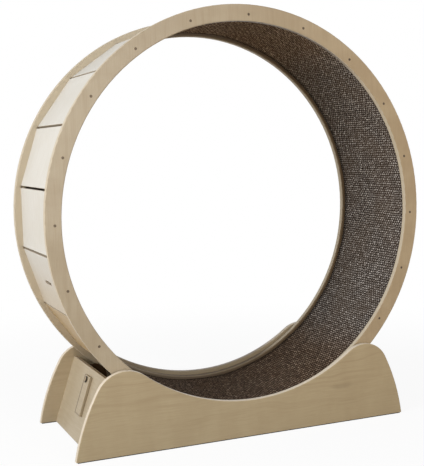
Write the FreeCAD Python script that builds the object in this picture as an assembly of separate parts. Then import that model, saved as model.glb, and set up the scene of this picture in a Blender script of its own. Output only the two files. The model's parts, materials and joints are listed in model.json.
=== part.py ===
import FreeCAD, Part
import math
import os

# Exercise wheel for a cat.  Millimetres.  The origin lies on the floor under the middle of the wheel;
# +Z is up, the wheel turns about an axis parallel to Y, and the front ring faces -Y.

# ---- wheel: two plywood rings joined by flat slats, with a running mat inside ----
ring_outer_radius = 550.0
ring_face_width = 42.0           # outer to inner edge of a ring
ring_thickness = 15.0
ring_edge_round = 2.0
wheel_width = 360.0              # over both rings
slat_count = 20
slat_thickness = 9.0
slat_inset = 20.5                # rim of a ring to the flat of a slat
slat_gap = 6.5                   # open joint between two slats, on the outside
slat_edge_round = 1.0
housing_depth = 3.0              # the slats' ends stand this deep in the rings
housing_clearance = 0.2
mat_thickness = 4.0
mat_laid_strip = 36.0            # width that lies flat on the middle of each slat
mat_glue_gap = 0.1
mat_side_clearance = 0.5
mat_seam_width = 0.8
mat_seam_angle = 90.0

# ---- screws that hold the slats ----
ring_screw_head_radius = 3.6
ring_screw_head_depth = 2.6
ring_screw_radius = 2.0
ring_screw_length = 42.0
cross_recess_length = 4.2
cross_recess_width = 0.9
cross_recess_depth = 1.4

# ---- base: two waved side panels and two leaning end panels ----
rim_ground_clearance = 52.0      # floor to the lowest point of the rings
base_length = 1000.0
panel_thickness = 15.0
panel_side_gap = 3.0             # ring face to side panel
panel_edge_round = 3.0
hollow_overlap = 11.5            # the side panels rise this far past the rings' inner edge, at the middle
hollow_centre_rise = 20.5        # wheel's axis to the centre of the hollow
crest_height = 226.5
crest_inner_radius = 88.0
crest_outer_radius = 84.0
end_curve_radius = 590.0
foot_strip_thickness = 3.0
foot_strip_width = 11.0
foot_strip_end_inset = 5.0
end_panel_thickness = 15.0
end_panel_lean = 18.0            # degrees from upright
end_panel_inset = 44.0           # base end to the outer face, at the floor
end_panel_length = 202.0         # up the slope, from the floor line
end_panel_edge_round = 1.0

# ---- knock-down fittings between side panels and end panels ----
cam_radius = 7.5
cam_depth = 12.0
cam_setback = 24.0               # cam centre to the side panel's inner face
cam_bolt_radius = 3.5
cam_bolt_neck_radius = 1.8
cam_bolt_head_radius = 3.0
cam_bolt_head_length = 3.0
cam_bolt_bite = 10.0             # depth in the side panel
cam_low = 40.0                   # up the slope
cam_top_margin = 34.0            # upper cam to the end panel's top
dowel_radius = 4.0
dowel_bite = 10.0
dowel_reach = 20.0

# ---- rollers ----
roller_panel_gap = 16.0          # roller's flange to the end panel's inner face
roller_radius = 32.0
roller_rim_gap = 0.3
roller_hub_radius = 24.0
roller_flange_height = 5.0       # past the tyre, inside the ring
roller_flange_thickness = 4.0
roller_flange_clearance = 1.5
roller_end_clearance = 1.5       # roller to side panel
tyre_edge_round = 1.5
axle_radius = 4.0
axle_bite = 10.0                 # depth in the side panel
axle_end_play = 0.5
bearing_outer_radius = 11.0
bearing_width = 7.0
inner_race_outer_radius = 5.8
outer_race_inner_radius = 9.8
shield_thickness = 0.5
shield_clearance = 0.3
ball_count = 7
ball_clearance = 0.02
spacer_outer_radius = 5.6

# ---- lock: a wooden bar that slides up the left end panel ----
lock_bar_width = 46.0
lock_bar_thickness = 8.0
lock_bar_hold = 54.0             # length of the bar past what it travels
lock_bar_top_gap = 20.0          # parked bar to the end panel's top
lock_bar_round = 1.0
lock_tip_bevel = 2.0
lock_tip_bevel_length = 5.0
lock_drum_clearance = 1.0        # raised bar to the corners of the drum
lock_knob_drop = 11.0            # bar's top to the knob
lock_knob_radius = 9.0
lock_knob_rim_height = 1.2
lock_knob_dome_height = 2.8
lock_knob_neck_radius = 6.0
lock_knob_neck_height = 1.5
lock_knob_waist_share = 0.8      # of the neck's radius, at its waist
lock_knob_stud_radius = 2.0
lock_knob_stud_length = 6.0
guide_low = 12.0                 # bar's lower end to the first guide
guide_spacing = 38.0
guide_bush_radius = 4.0
guide_side_play = 0.15
guide_end_play = 0.5
guide_screw_radius = 2.0
guide_screw_bite = 6.0
guide_head_radius = 4.0
guide_head_height = 2.6
backing_plate_width = 26.0
backing_plate_margin = 10.0      # past each guide
backing_plate_thickness = 6.0
slide_play = 0.15                # bar and plate to the faces of the panel
lock_slot_slat = 12              # the slat that holds the slot, counted from the right-hand side
lock_slot_side_clearance = 8.0   # bar to each end of the slot
lock_slot_width = 9.0

# ---- fits ----
bore_fit = 0.05                  # radial, for pins and screws in their bores
bearing_fit = 0.02

# ---- worked-out places ----
axis_height = ring_outer_radius + rim_ground_clearance
ring_inner_radius = ring_outer_radius - ring_face_width
half_wheel = wheel_width / 2
ring_inner_face = half_wheel - ring_thickness
panel_inner_face = half_wheel + panel_side_gap
panel_outer_face = panel_inner_face + panel_thickness
slat_half_angle = math.pi / slat_count
slat_outer_apothem = ring_outer_radius - slat_inset
slat_inner_apothem = slat_outer_apothem - slat_thickness
slat_middle_radius = slat_outer_apothem - slat_thickness / 2
mat_outer_apothem = slat_inner_apothem - mat_glue_gap
mat_inner_apothem = mat_outer_apothem - mat_thickness
mat_bend_radius = mat_inner_apothem - mat_laid_strip / 2 / math.tan(slat_half_angle)
slat_width = 2 * slat_outer_apothem * math.tan(slat_half_angle) - slat_gap
slat_half_length = ring_inner_face + housing_depth
drum_corner_radius = math.hypot(slat_outer_apothem, slat_width / 2)
lean = math.radians(end_panel_lean)
end_panel_foot = base_length / 2 - end_panel_inset
cam_high = end_panel_length - cam_top_margin
dowel_rise = (cam_low + cam_high) / 2
lock_bar_high = end_panel_length - lock_bar_top_gap
lock_slot_length = lock_bar_width + 2 * lock_slot_side_clearance


def vec(x, y, z):
    return FreeCAD.Vector(x, y, z)


ALONG_X = vec(1, 0, 0)
ALONG_Y = vec(0, 1, 0)
ALONG_Z = vec(0, 0, 1)
WHEEL_CENTRE = vec(0, 0, axis_height)


def block(x0, x1, y0, y1, z0, z1):
    return Part.makeBox(x1 - x0, y1 - y0, z1 - z0, vec(x0, y0, z0))


def rod_y(radius, y_a, y_b, x=0.0, z=0.0):
    """Round bar along Y between two places given in either order."""
    low = min(y_a, y_b)
    return Part.makeCylinder(radius, abs(y_b - y_a), vec(x, low, z), ALONG_Y)


def tube_y(inner, outer, y_a, y_b, x=0.0, z=0.0):
    return rod_y(outer, y_a, y_b, x, z).cut(rod_y(inner, y_a, y_b, x, z))


def prism_y(wire, y_a, y_b):
    """Solid between two places on Y, from a closed wire that lies in the plane y = 0."""
    face = Part.Face(wire)
    face.translate(vec(0, min(y_a, y_b), 0))
    return face.extrude(vec(0, abs(y_b - y_a), 0))


def polar(centre, radius, angle):
    """Point in the XZ plane, with the angle in radians from +X towards +Z."""
    return centre + vec(radius * math.cos(angle), 0, radius * math.sin(angle))


def turned(shape, angle):
    """Copy of a shape, turned about the wheel's axis from +X towards +Z, in radians."""
    copy = shape.copy()
    copy.rotate(WHEEL_CENTRE, ALONG_Y, -math.degrees(angle))
    return copy


def mirrored_y(shape):
    return shape.mirror(vec(0, 0, 0), ALONG_Y)


def arc_between(centre, radius, start, end):
    """Shorter arc of a circle in the XZ plane, between two points on it."""
    middle = (start + end) * 0.5 - centre
    middle.normalize()
    return Part.Arc(start, centre + middle * radius, end).toShape()


def arcs_and_lines(edges):
    return Part.Wire(Part.__sortEdges__(edges))


def round_edges(shape, radius, keep):
    """Round the edges that keep() picks."""
    return shape.makeFillet(radius, [edge for edge in shape.Edges if keep(edge)])


# ------------------------------------------------------------------ wheel

def polygon_wire(apothem, bend_radius=0.0):
    """Regular polygon round the wheel's axis with flats centred on the slats, corners bent or sharp."""
    edges = []
    corner = apothem / math.cos(slat_half_angle)
    cut_back = bend_radius * math.tan(slat_half_angle)
    for index in range(slat_count):
        angle = 2 * slat_half_angle * index
        flat_start = polar(WHEEL_CENTRE, corner, angle - slat_half_angle)
        flat_end = polar(WHEEL_CENTRE, corner, angle + slat_half_angle)
        along = (flat_end - flat_start).normalize()
        line_start = flat_start + along * cut_back
        line_end = flat_end - along * cut_back
        edges.append(Part.LineSegment(line_start, line_end).toShape())
        if bend_radius > 0:
            bend_centre = polar(WHEEL_CENTRE, (apothem - bend_radius) / math.cos(slat_half_angle),
                                angle + slat_half_angle)
            next_start = turned(Part.Vertex(line_start), 2 * slat_half_angle).Point
            edges.append(arc_between(bend_centre, bend_radius, line_end, next_start))
    return arcs_and_lines(edges)


def make_ring_screw():
    """Countersunk screw along +Y; its head is flush with the front ring's outer face."""
    face = -half_wheel
    radius = slat_middle_radius
    x, z = WHEEL_CENTRE.x + radius, WHEEL_CENTRE.z
    head = Part.makeCone(ring_screw_head_radius, ring_screw_radius, ring_screw_head_depth,
                         vec(x, face, z), ALONG_Y)
    screw = head.fuse(rod_y(ring_screw_radius, face, face + ring_screw_length, x, z))
    half_long, half_wide = cross_recess_length / 2, cross_recess_width / 2
    depth = face + cross_recess_depth
    screw = screw.cut(block(x - half_long, x + half_long, face, depth, z - half_wide, z + half_wide))
    return screw.cut(block(x - half_wide, x + half_wide, face, depth, z - half_long, z + half_long))


def make_ring_screw_hole():
    face = -half_wheel
    x, z = WHEEL_CENTRE.x + slat_middle_radius, WHEEL_CENTRE.z
    head = Part.makeCone(ring_screw_head_radius + bore_fit, ring_screw_radius + bore_fit,
                         ring_screw_head_depth, vec(x, face, z), ALONG_Y)
    depth = face + ring_screw_length + bore_fit
    return head.fuse(rod_y(ring_screw_radius + bore_fit, face, depth, x, z))


def make_front_ring():
    ring = tube_y(ring_inner_radius, ring_outer_radius, -half_wheel, -ring_inner_face,
                  WHEEL_CENTRE.x, WHEEL_CENTRE.z)
    ring = round_edges(ring, ring_edge_round, lambda edge: edge.BoundBox.YLength < ring_thickness / 2)
    housing_y = -ring_inner_face - housing_depth
    housing = prism_y(polygon_wire(slat_outer_apothem + housing_clearance), housing_y, 0)
    housing = housing.cut(prism_y(polygon_wire(slat_inner_apothem - housing_clearance), housing_y, 0))
    ring = ring.cut(housing)
    holes = [turned(make_ring_screw_hole(), 2 * slat_half_angle * i) for i in range(slat_count)]
    return ring.cut(Part.makeCompound(holes))


def make_slat():
    """One slat, lying at the wheel's right-hand side."""
    x = WHEEL_CENTRE.x
    slat = block(x + slat_inner_apothem, x + slat_outer_apothem, -slat_half_length, slat_half_length,
                 axis_height - slat_width / 2, axis_height + slat_width / 2)
    outer = x + slat_outer_apothem
    slat = round_edges(slat, slat_edge_round,
                       lambda e: e.BoundBox.XMin > outer - 0.01 and e.BoundBox.YLength > slat_half_length)
    hole = make_ring_screw_hole()
    return slat.cut(hole.fuse(mirrored_y(hole)))


def make_slot_cutter():
    """Round-ended slot through a slat, along Y, for the tip of the lock bar."""
    x0 = WHEEL_CENTRE.x + slat_inner_apothem
    x1 = WHEEL_CENTRE.x + slat_outer_apothem
    radius = lock_slot_width / 2
    straight = lock_slot_length / 2 - radius
    cutter = block(x0, x1, -straight, straight, axis_height - radius, axis_height + radius)
    for y in (-straight, straight):
        cutter = cutter.fuse(Part.makeCylinder(radius, x1 - x0, vec(x0, y, axis_height), ALONG_X))
    return cutter


def make_running_mat():
    half = ring_inner_face - mat_side_clearance
    mat = prism_y(polygon_wire(mat_outer_apothem, mat_bend_radius + mat_thickness), -half, half)
    mat = mat.cut(prism_y(polygon_wire(mat_inner_apothem, mat_bend_radius), -half, half))
    seam = block(ring_inner_radius, ring_outer_radius, -half, half,
                 axis_height - mat_seam_width / 2, axis_height + mat_seam_width / 2)
    return mat.cut(turned(seam, math.radians(mat_seam_angle)))


def wheel_parts():
    ring = make_front_ring()
    screws = [turned(make_ring_screw(), 2 * slat_half_angle * i) for i in range(slat_count)]
    pieces = {
        "ring_front": ring,
        "ring_back": mirrored_y(ring),
        "ring_screws_front": Part.makeCompound(screws),
        "ring_screws_back": Part.makeCompound([mirrored_y(screw) for screw in screws]),
        "running_mat": make_running_mat(),
    }
    plain = make_slat()
    slotted = plain.cut(make_slot_cutter())
    for number in range(1, slat_count + 1):
        slat = slotted if number == lock_slot_slat else plain
        pieces["slat_%02d" % number] = turned(slat, 2 * slat_half_angle * (number - 1))
    return pieces


# ------------------------------------------------------------------ base

def make_side_outline():
    """Waved outline: a round hollow under the wheel, a crest at each end, a bowed end edge."""
    foot = vec(base_length / 2, 0, foot_strip_thickness)
    hollow_radius = ring_inner_radius - hollow_overlap + hollow_centre_rise
    hollow_centre = WHEEL_CENTRE + ALONG_Z * hollow_centre_rise
    inner_z = crest_height - crest_inner_radius
    reach = hollow_radius + crest_inner_radius
    crest_x = math.sqrt(reach ** 2 - (hollow_centre.z - inner_z) ** 2)
    inner_centre = vec(crest_x, 0, inner_z)
    outer_centre = vec(crest_x, 0, crest_height - crest_outer_radius)
    crest = vec(crest_x, 0, crest_height)
    # The hollow meets the crest on the line between their centres.
    hollow_end = hollow_centre + (inner_centre - hollow_centre).normalize() * hollow_radius
    # The end curve goes through the foot and takes the crest's outer circle in from inside.
    gap = foot.distanceToPoint(outer_centre)
    far = end_curve_radius - crest_outer_radius
    along = (gap ** 2 + end_curve_radius ** 2 - far ** 2) / (2 * gap)
    across = math.sqrt(end_curve_radius ** 2 - along ** 2)
    toward = (outer_centre - foot).normalize()
    end_centre = foot + toward * along + vec(-toward.z, 0, toward.x) * across
    shoulder = outer_centre + (outer_centre - end_centre).normalize() * crest_outer_radius
    half = [
        arc_between(end_centre, end_curve_radius, foot, shoulder),
        arc_between(outer_centre, crest_outer_radius, shoulder, crest),
        arc_between(inner_centre, crest_inner_radius, crest, hollow_end),
    ]
    other_half = [edge.mirror(vec(0, 0, 0), ALONG_X) for edge in half]
    left_end = vec(-hollow_end.x, 0, hollow_end.z)
    hollow = Part.Arc(hollow_end, hollow_centre - ALONG_Z * hollow_radius, left_end).toShape()
    bottom = Part.LineSegment(vec(-foot.x, 0, foot.z), foot).toShape()
    return arcs_and_lines(half + [hollow] + other_half + [bottom])


UP_THE_SLOPE = vec(math.sin(lean), 0, math.cos(lean))


def at_depth(depth):
    """Where a line up the slope starts, at a depth into the left end panel from its outer face."""
    return vec(-end_panel_foot + depth * math.cos(lean), 0, -depth * math.sin(lean))


def rise_to_circle(depth, radius):
    """How far up the slope that line first meets a circle round the wheel's axis."""
    to_axis = WHEEL_CENTRE - at_depth(depth)
    along = to_axis.dot(UP_THE_SLOPE)
    off_line = math.sqrt(to_axis.Length ** 2 - along ** 2)
    return along - math.sqrt(radius ** 2 - off_line ** 2)


def roller_centres():
    """Each roller bears on the rims and stays a gap inside its end panel."""
    depth = end_panel_thickness + roller_panel_gap + roller_flange_height + roller_radius
    rise = rise_to_circle(depth, ring_outer_radius + roller_rim_gap + roller_radius)
    left = at_depth(depth) + UP_THE_SLOPE * rise
    return {"left": (left.x, left.z), "right": (-left.x, left.z)}


def on_end_panel(shape, side):
    """Put a shape on an end panel: its own x is the depth into the panel from the outer face,
    its own z runs up the slope from the floor line."""
    placed = shape.copy()
    placed.rotate(vec(0, 0, 0), ALONG_Y, end_panel_lean)
    placed.translate(vec(-end_panel_foot, 0, 0))
    if side == "right":
        placed = placed.mirror(vec(0, 0, 0), ALONG_X)
    return placed


def make_dowels():
    middle = end_panel_thickness / 2
    dowels = []
    for sign in (-1, 1):
        outer = sign * (panel_inner_face + dowel_bite)
        inner = sign * (panel_inner_face - dowel_reach)
        dowels.append(rod_y(dowel_radius, outer, inner, middle, dowel_rise))
    return dowels


def make_cam_bolts():
    """Bolts that stand in the side panels and reach into the cams."""
    middle = end_panel_thickness / 2
    bolts = []
    for sign in (-1, 1):
        for rise in (cam_low, cam_high):
            shaft_end = panel_inner_face - cam_setback + cam_radius + bore_fit
            head_outer = panel_inner_face - cam_setback + cam_bolt_head_length / 2
            head_inner = head_outer - cam_bolt_head_length
            bolt = rod_y(cam_bolt_radius, sign * (panel_inner_face + cam_bolt_bite), sign * shaft_end,
                         middle, rise)
            bolt = bolt.fuse(rod_y(cam_bolt_neck_radius, sign * shaft_end, sign * head_outer, middle, rise))
            bolts.append(bolt.fuse(rod_y(cam_bolt_head_radius, sign * head_outer, sign * head_inner,
                                         middle, rise)))
    return bolts


def make_cams():
    """Cams in the inner face of an end panel, each with a pocket round its bolt's head."""
    middle = end_panel_thickness / 2
    cams = []
    for sign in (-1, 1):
        for rise in (cam_low, cam_high):
            centre_y = sign * (panel_inner_face - cam_setback)
            cam = Part.makeCylinder(cam_radius, cam_depth,
                                    vec(end_panel_thickness - cam_depth, centre_y, rise), ALONG_X)
            room = cam_bolt_head_length / 2 + bore_fit
            pocket = rod_y(cam_bolt_head_radius + bore_fit, centre_y - room, centre_y + room, middle, rise)
            neck = rod_y(cam_bolt_neck_radius + bore_fit, centre_y, centre_y + sign * cam_radius, middle, rise)
            cam = cam.cut(pocket.fuse(neck))
            face = end_panel_thickness
            half_long, half_wide = cross_recess_length, cross_recess_width
            cam = cam.cut(block(face - cross_recess_depth, face, centre_y - half_long, centre_y + half_long,
                                rise - half_wide, rise + half_wide))
            cams.append(cam.cut(block(face - cross_recess_depth, face, centre_y - half_wide,
                                      centre_y + half_wide, rise - half_long, rise + half_long)))
    return cams


def make_fitting_bores():
    """Bores for dowels, bolts and cams, in an end panel's own place."""
    middle = end_panel_thickness / 2
    bores = []
    for sign in (-1, 1):
        outer = sign * (panel_inner_face + dowel_bite)
        inner = sign * (panel_inner_face - dowel_reach - bore_fit)
        bores.append(rod_y(dowel_radius + bore_fit, outer, inner, middle, dowel_rise))
        for rise in (cam_low, cam_high):
            centre_y = sign * (panel_inner_face - cam_setback)
            outer = sign * (panel_inner_face + cam_bolt_bite)
            bores.append(rod_y(cam_bolt_radius + bore_fit, outer, centre_y, middle, rise))
            bores.append(Part.makeCylinder(cam_radius + bore_fit, cam_depth,
                                           vec(end_panel_thickness - cam_depth, centre_y, rise), ALONG_X))
    return Part.makeCompound(bores)


def make_end_panel():
    low = -end_panel_thickness
    panel = block(0, end_panel_thickness, -panel_inner_face, panel_inner_face, low, end_panel_length)
    top = end_panel_length
    return round_edges(panel, end_panel_edge_round,
                       lambda e: e.BoundBox.ZMin > top - 0.01 and e.BoundBox.YLength > panel_inner_face)


def place_end_panel(panel, side):
    """Lean the panel, level its foot with the side panels and bore it for its fittings."""
    placed = on_end_panel(panel.cut(make_fitting_bores()), side)
    half = base_length / 2
    below = block(-half, half, -panel_inner_face, panel_inner_face, -half, foot_strip_thickness)
    return placed.cut(below)


def make_side_panel():
    """The back panel, with its bores from the inside only."""
    panel = prism_y(make_side_outline(), panel_inner_face, panel_outer_face)
    bottom = foot_strip_thickness
    panel = round_edges(panel, panel_edge_round,
                        lambda e: e.BoundBox.YLength < 0.01 and e.BoundBox.ZMax > bottom + 0.01)
    for side, (x, z) in roller_centres().items():
        depth = panel_inner_face + axle_bite
        panel = panel.cut(rod_y(axle_radius + bore_fit, panel_inner_face, depth, x, z))
        panel = panel.cut(on_end_panel(make_fitting_bores(), side))
    return panel


def make_foot_strip():
    middle = (panel_inner_face + panel_outer_face) / 2
    half = base_length / 2 - foot_strip_end_inset
    return block(-half, half, middle - foot_strip_width / 2, middle + foot_strip_width / 2,
                 0, foot_strip_thickness)


def base_parts():
    side_panel = make_side_panel()
    foot_strip = make_foot_strip()
    left_panel = make_end_panel().cut(make_guide_slot())
    fittings = {"cam_locks": make_cams(), "cam_bolts": make_cam_bolts(), "panel_dowels": make_dowels()}
    pieces = {
        "side_panel_back": side_panel,
        "side_panel_front": mirrored_y(side_panel),
        "foot_strip_back": foot_strip,
        "foot_strip_front": mirrored_y(foot_strip),
        "end_panel_left": place_end_panel(left_panel, "left"),
        "end_panel_right": place_end_panel(make_end_panel(), "right"),
    }
    for name, solids in fittings.items():
        placed = [on_end_panel(solid, side) for side in ("left", "right") for solid in solids]
        pieces[name] = Part.makeCompound(placed)
    return pieces


# ------------------------------------------------------------------ rollers

roller_inner_y = ring_inner_face - roller_flange_clearance - roller_flange_thickness
tyre_inner_y = ring_inner_face - roller_flange_clearance
roller_outer_y = panel_inner_face - roller_end_clearance
bearing_starts = (roller_inner_y, roller_outer_y - bearing_width)


def make_tyre(x, z):
    tyre = tube_y(roller_hub_radius + bearing_fit, roller_radius, tyre_inner_y, roller_outer_y, x, z)
    def outer_rim(edge):
        return edge.BoundBox.XLength > 2 * roller_radius - 0.01 and edge.BoundBox.YLength < 0.01
    return round_edges(tyre, tyre_edge_round, outer_rim)


def make_hub(x, z):
    """Hub with the flange that keeps the ring in its track, and a seat for a bearing at each end."""
    hub = rod_y(roller_hub_radius, roller_inner_y, roller_outer_y, x, z)
    flange_radius = roller_radius + roller_flange_height
    hub = hub.fuse(rod_y(flange_radius, roller_inner_y, tyre_inner_y, x, z))
    hub = hub.cut(rod_y(outer_race_inner_radius, roller_inner_y, roller_outer_y, x, z))
    for start in bearing_starts:
        hub = hub.cut(rod_y(bearing_outer_radius + bearing_fit, start, start + bearing_width, x, z))
    return hub


def make_outer_race(x, z, start):
    """Outer race with a shield at each face."""
    race = tube_y(outer_race_inner_radius, bearing_outer_radius, start, start + bearing_width, x, z)
    shield_inner = inner_race_outer_radius + shield_clearance
    for y in (start, start + bearing_width - shield_thickness):
        race = race.fuse(tube_y(shield_inner, outer_race_inner_radius, y, y + shield_thickness, x, z))
    return race


def make_balls(x, z, start):
    track = (inner_race_outer_radius + outer_race_inner_radius) / 2
    radius = (outer_race_inner_radius - inner_race_outer_radius) / 2 - ball_clearance
    balls = []
    for index in range(ball_count):
        place = polar(vec(x, start + bearing_width / 2, z), track, 2 * math.pi * index / ball_count)
        balls.append(Part.makeSphere(radius, place))
    return balls


def make_bearings(x, z):
    solids = []
    for start in bearing_starts:
        solids.append(make_outer_race(x, z, start))
        solids.extend(make_balls(x, z, start))
    return Part.makeCompound(solids)


def make_still_rings(x, z):
    """Inner races and the spacers between and beside them, which stay still on the axle."""
    bore = axle_radius + bearing_fit
    races = [tube_y(bore, inner_race_outer_radius, start, start + bearing_width, x, z)
             for start in bearing_starts]
    between = tube_y(bore, spacer_outer_radius, bearing_starts[0] + bearing_width, bearing_starts[1], x, z)
    beside = tube_y(bore, spacer_outer_radius, roller_outer_y, panel_inner_face, x, z)
    return races, between, beside


def roller_parts():
    pieces = {}
    races, betweens, besides = [], [], []
    for side, (x, z) in roller_centres().items():
        rolling = {"tyre": make_tyre(x, z), "hub": make_hub(x, z), "bearings": make_bearings(x, z)}
        for name, shape in rolling.items():
            pieces["roller_back_%s_%s" % (side, name)] = shape
            pieces["roller_front_%s_%s" % (side, name)] = mirrored_y(shape)
        still_races, between, beside = make_still_rings(x, z)
        races += still_races + [mirrored_y(race) for race in still_races]
        betweens += [between, mirrored_y(between)]
        besides += [beside, mirrored_y(beside)]
        axle_end = panel_inner_face + axle_bite - axle_end_play
        pieces["roller_axle_%s" % side] = rod_y(axle_radius, -axle_end, axle_end, x, z)
        pieces["axle_tube_%s" % side] = tube_y(axle_radius + bearing_fit, spacer_outer_radius,
                                               -roller_inner_y, roller_inner_y, x, z)
    pieces["bearing_inner_races"] = Part.makeCompound(races)
    pieces["bearing_spacers"] = Part.makeCompound(betweens)
    pieces["axle_end_spacers"] = Part.makeCompound(besides)
    return pieces


# ------------------------------------------------------------------ lock

def lock_travel():
    """How far the bar rises before its tip would touch the drum's corners."""
    tip_depth = -slide_play - lock_tip_bevel
    return rise_to_circle(tip_depth, drum_corner_radius + lock_drum_clearance) - lock_bar_high


def lock_bar_low():
    return lock_bar_high - lock_bar_hold - lock_travel()


def guide_rises():
    first = lock_bar_low() + guide_low
    return (first, first + guide_spacing)


def make_guide_slot():
    """Slot in the left end panel, long enough for both guides over the whole travel."""
    radius = guide_bush_radius + guide_side_play
    low = guide_rises()[0] - guide_end_play
    high = guide_rises()[1] + lock_travel() + guide_end_play
    slot = block(0, end_panel_thickness, -radius, radius, low, high)
    for rise in (low, high):
        slot = slot.fuse(Part.makeCylinder(radius, end_panel_thickness, vec(0, 0, rise), ALONG_X))
    return slot


def make_lock_bar():
    front = -slide_play - lock_bar_thickness
    half = lock_bar_width / 2
    bar = block(front, -slide_play, -half, half, lock_bar_low(), lock_bar_high)
    bar = round_edges(bar, lock_bar_round, lambda e: e.BoundBox.XMax < front + 0.01)
    tip = Part.makePolygon([
        vec(-slide_play - lock_tip_bevel, -half, lock_bar_high),
        vec(-slide_play, -half, lock_bar_high),
        vec(-slide_play, -half, lock_bar_high - lock_tip_bevel_length),
        vec(-slide_play - lock_tip_bevel, -half, lock_bar_high)])
    bar = bar.cut(Part.Face(tip).extrude(vec(0, lock_bar_width, 0)))
    for rise in guide_rises():
        bite = guide_screw_bite + bore_fit
        bar = bar.cut(Part.makeCylinder(guide_screw_radius + bore_fit, bite,
                                        vec(-slide_play - bite, 0, rise), ALONG_X))
    stud = lock_knob_stud_length + bore_fit
    return bar.cut(Part.makeCylinder(lock_knob_stud_radius + bore_fit, stud,
                                     vec(front, 0, lock_bar_high - lock_knob_drop), ALONG_X))


def make_lock_knob():
    """Low turned knob: a stud in the bar, a short waisted neck and a domed head."""
    face = -slide_play - lock_bar_thickness
    neck_end = face - lock_knob_neck_height
    rim_end = neck_end - lock_knob_rim_height
    head_end = rim_end - lock_knob_dome_height
    rise = lock_bar_high - lock_knob_drop
    dome_radius = (lock_knob_dome_height ** 2 + lock_knob_radius ** 2) / (2 * lock_knob_dome_height)
    def at(depth, radius):
        return vec(depth, 0, rise + radius)
    waist = Part.Arc(at(face, lock_knob_neck_radius),
                     at((face + neck_end) / 2, lock_knob_neck_radius * lock_knob_waist_share),
                     at(neck_end, lock_knob_neck_radius)).toShape()
    dome = arc_between(at(head_end + dome_radius, 0), dome_radius, at(rim_end, lock_knob_radius),
                       at(head_end, 0))
    stud = face + lock_knob_stud_length
    lines = [(at(stud, 0), at(stud, lock_knob_stud_radius)),
             (at(stud, lock_knob_stud_radius), at(face, lock_knob_stud_radius)),
             (at(face, lock_knob_stud_radius), at(face, lock_knob_neck_radius)),
             (at(neck_end, lock_knob_neck_radius), at(neck_end, lock_knob_radius)),
             (at(neck_end, lock_knob_radius), at(rim_end, lock_knob_radius)),
             (at(head_end, 0), at(stud, 0))]
    edges = [Part.LineSegment(a, b).toShape() for a, b in lines] + [waist, dome]
    return Part.Face(arcs_and_lines(edges)).revolve(vec(0, 0, rise), ALONG_X, 360)


def make_backing_plate():
    near = end_panel_thickness + slide_play
    low, high = guide_rises()
    half = backing_plate_width / 2
    plate = block(near, near + backing_plate_thickness, -half, half,
                  low - backing_plate_margin, high + backing_plate_margin)
    for rise in guide_rises():
        plate = plate.cut(Part.makeCylinder(guide_screw_radius + bore_fit, backing_plate_thickness,
                                            vec(near, 0, rise), ALONG_X))
    return plate


def make_guide_bush(rise):
    length = end_panel_thickness + 2 * slide_play
    start = vec(-slide_play, 0, rise)
    bush = Part.makeCylinder(guide_bush_radius, length, start, ALONG_X)
    return bush.cut(Part.makeCylinder(guide_screw_radius + bore_fit, length, start, ALONG_X))


def make_guide_screw(rise):
    """Screw from inside: its head on the backing plate, its point in the bar."""
    seat = end_panel_thickness + slide_play + backing_plate_thickness
    tip = -slide_play - guide_screw_bite
    screw = Part.makeCylinder(guide_screw_radius, seat - tip, vec(tip, 0, rise), ALONG_X)
    screw = screw.fuse(Part.makeCylinder(guide_head_radius, guide_head_height, vec(seat, 0, rise), ALONG_X))
    face = seat + guide_head_height
    half_long, half_wide = cross_recess_length / 2, cross_recess_width / 2
    deep = face - cross_recess_depth
    screw = screw.cut(block(deep, face, -half_long, half_long, rise - half_wide, rise + half_wide))
    return screw.cut(block(deep, face, -half_wide, half_wide, rise - half_long, rise + half_long))


def lock_parts():
    pieces = {
        "lock_bar": make_lock_bar(),
        "lock_knob": make_lock_knob(),
        "lock_backing_plate": make_backing_plate(),
        "lock_guide_bushes": Part.makeCompound([make_guide_bush(rise) for rise in guide_rises()]),
        "lock_guide_screws": Part.makeCompound([make_guide_screw(rise) for rise in guide_rises()]),
    }
    return {name: on_end_panel(shape, "left") for name, shape in pieces.items()}


# ------------------------------------------------------------------ export

os.makedirs("parts", exist_ok=True)
for section in (wheel_parts(), base_parts(), roller_parts(), lock_parts()):
    for name, shape in section.items():
        shape.exportStep("parts/%s.step" % name)

print("lock travel %.2f mm along the slope, bar low %.2f" % (lock_travel(), lock_bar_low()))
print("roller centres", {side: (round(x, 3), round(z, 3)) for side, (x, z) in roller_centres().items()})
print("rim to roller ratio %.4f" % (ring_outer_radius / roller_radius))
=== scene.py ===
import json
import math

import bpy
import numpy as np
from mathutils import Matrix, Vector


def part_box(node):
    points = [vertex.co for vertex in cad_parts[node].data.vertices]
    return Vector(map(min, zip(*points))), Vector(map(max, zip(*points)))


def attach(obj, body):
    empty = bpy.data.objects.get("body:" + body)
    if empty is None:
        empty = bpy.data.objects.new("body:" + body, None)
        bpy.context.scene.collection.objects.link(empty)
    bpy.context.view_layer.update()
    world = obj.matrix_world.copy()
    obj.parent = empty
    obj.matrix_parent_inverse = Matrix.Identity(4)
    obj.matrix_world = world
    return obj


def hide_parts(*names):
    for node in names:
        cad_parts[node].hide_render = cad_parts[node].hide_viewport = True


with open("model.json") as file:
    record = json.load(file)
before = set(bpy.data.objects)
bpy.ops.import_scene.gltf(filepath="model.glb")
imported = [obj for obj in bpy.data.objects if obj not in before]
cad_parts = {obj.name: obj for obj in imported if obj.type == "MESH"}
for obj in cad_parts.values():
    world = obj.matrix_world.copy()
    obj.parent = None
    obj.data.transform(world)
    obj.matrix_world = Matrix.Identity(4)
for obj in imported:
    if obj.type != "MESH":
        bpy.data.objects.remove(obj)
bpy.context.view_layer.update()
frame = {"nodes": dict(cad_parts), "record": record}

# Lengths are in metres.  A tuple that goes to span() holds where a change begins and where it is complete,
# and then, where these aren't 0 and 1, the values at both.  A name that ends in _SCALE holds a noise's scale
# per metre, or its scales along two directions.

# ------------------------------------------------------------------ places, from the frame

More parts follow.
